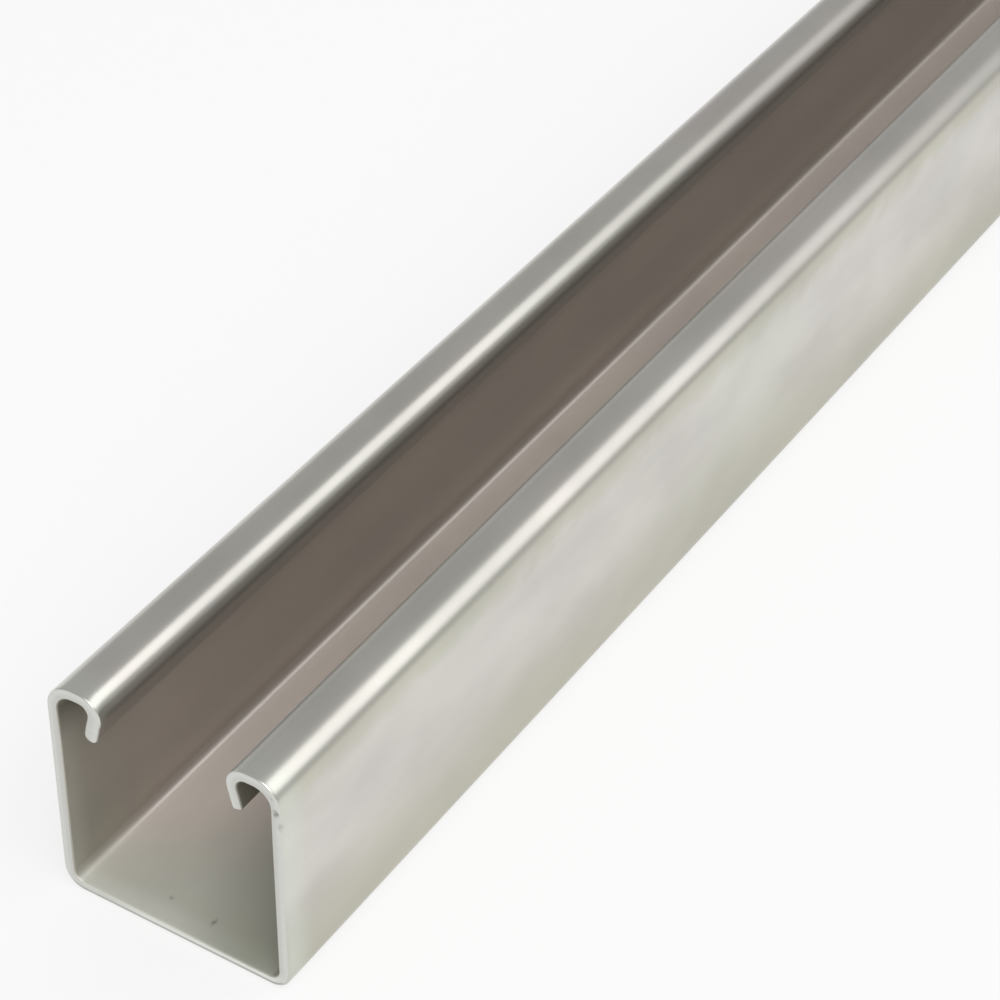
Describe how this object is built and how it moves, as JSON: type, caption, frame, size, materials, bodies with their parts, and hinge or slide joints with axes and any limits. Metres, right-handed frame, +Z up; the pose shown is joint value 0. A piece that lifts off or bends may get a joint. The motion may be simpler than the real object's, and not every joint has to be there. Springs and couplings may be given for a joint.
{
  "type": "strut channel",
  "caption": "Solid-back strut channel: square C-section formed from aluminium strip, with in-turned lips along an open slot that holds sliding channel nuts. Lies on its back.",
  "frame": {"origin": "middle of the underside of the back, halfway along the length", "axes": "+X across the section, +Y along the length away from the end nearest the camera, +Z up out of the slot"},
  "size_m": [0.0412, 0.6096, 0.0413],
  "materials": {
    "channel": "mill finish, satin, with fine lengthwise forming lines"
  },
  "bodies": {
    "root": {"strut_channel": "channel"}
  },
  "joints": []
}
